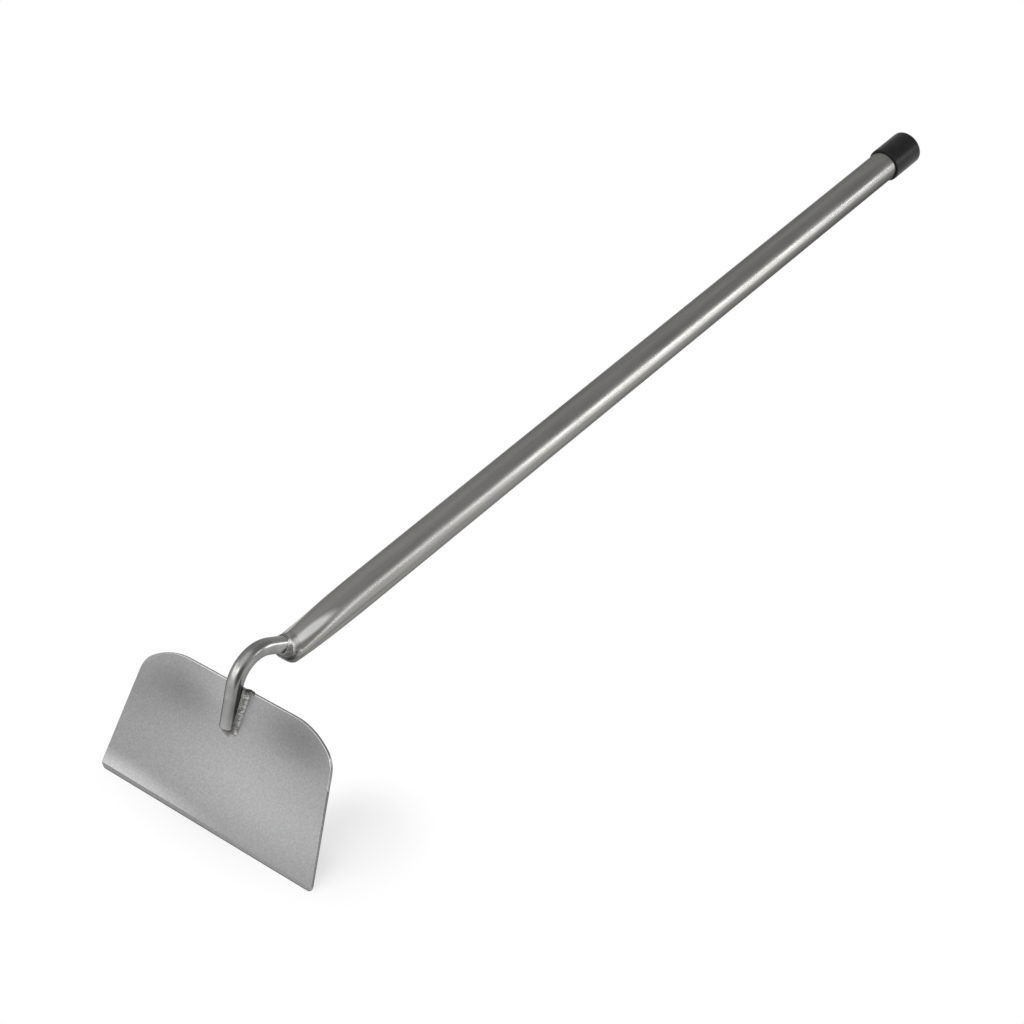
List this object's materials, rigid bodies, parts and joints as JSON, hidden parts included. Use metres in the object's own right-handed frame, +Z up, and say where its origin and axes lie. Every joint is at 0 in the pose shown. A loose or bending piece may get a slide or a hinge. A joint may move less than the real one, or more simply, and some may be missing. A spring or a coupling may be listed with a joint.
{
  "type": "garden hoe",
  "caption": "Steel garden hoe: wide flat blade with rounded top corners on a gooseneck bar, tube handle drawn down round the bar, capped at its far end.",
  "frame": {"origin": "centre of the bounding box, on the floor that the hoe rests on with its cutting edge and its cap's rim", "axes": "+X from the blade to the capped end of the handle, +Z up from the floor, +Y to the left of someone who looks from the blade's cutting edge along the handle towards the cap"},
  "size_m": [0.8562, 0.2108, 0.1015],
  "materials": {
    "brushed_tube": "satin, brushed along the handle",
    "plain_bar": "smooth drawn bar",
    "grained_plate": "fine-grained satin",
    "weld_metal": "rippled as welded",
    "black_cap": "soft matt black"
  },
  "bodies": {
    "root": {"blade": "grained_plate", "neck_rod": "plain_bar", "handle_tube": "brushed_tube", "end_cap": "black_cap", "left_blade_weld": "weld_metal", "right_blade_weld": "weld_metal", "toe_weld": "weld_metal", "top_edge_weld": "weld_metal", "socket_weld": "weld_metal"}
  },
  "joints": []
}
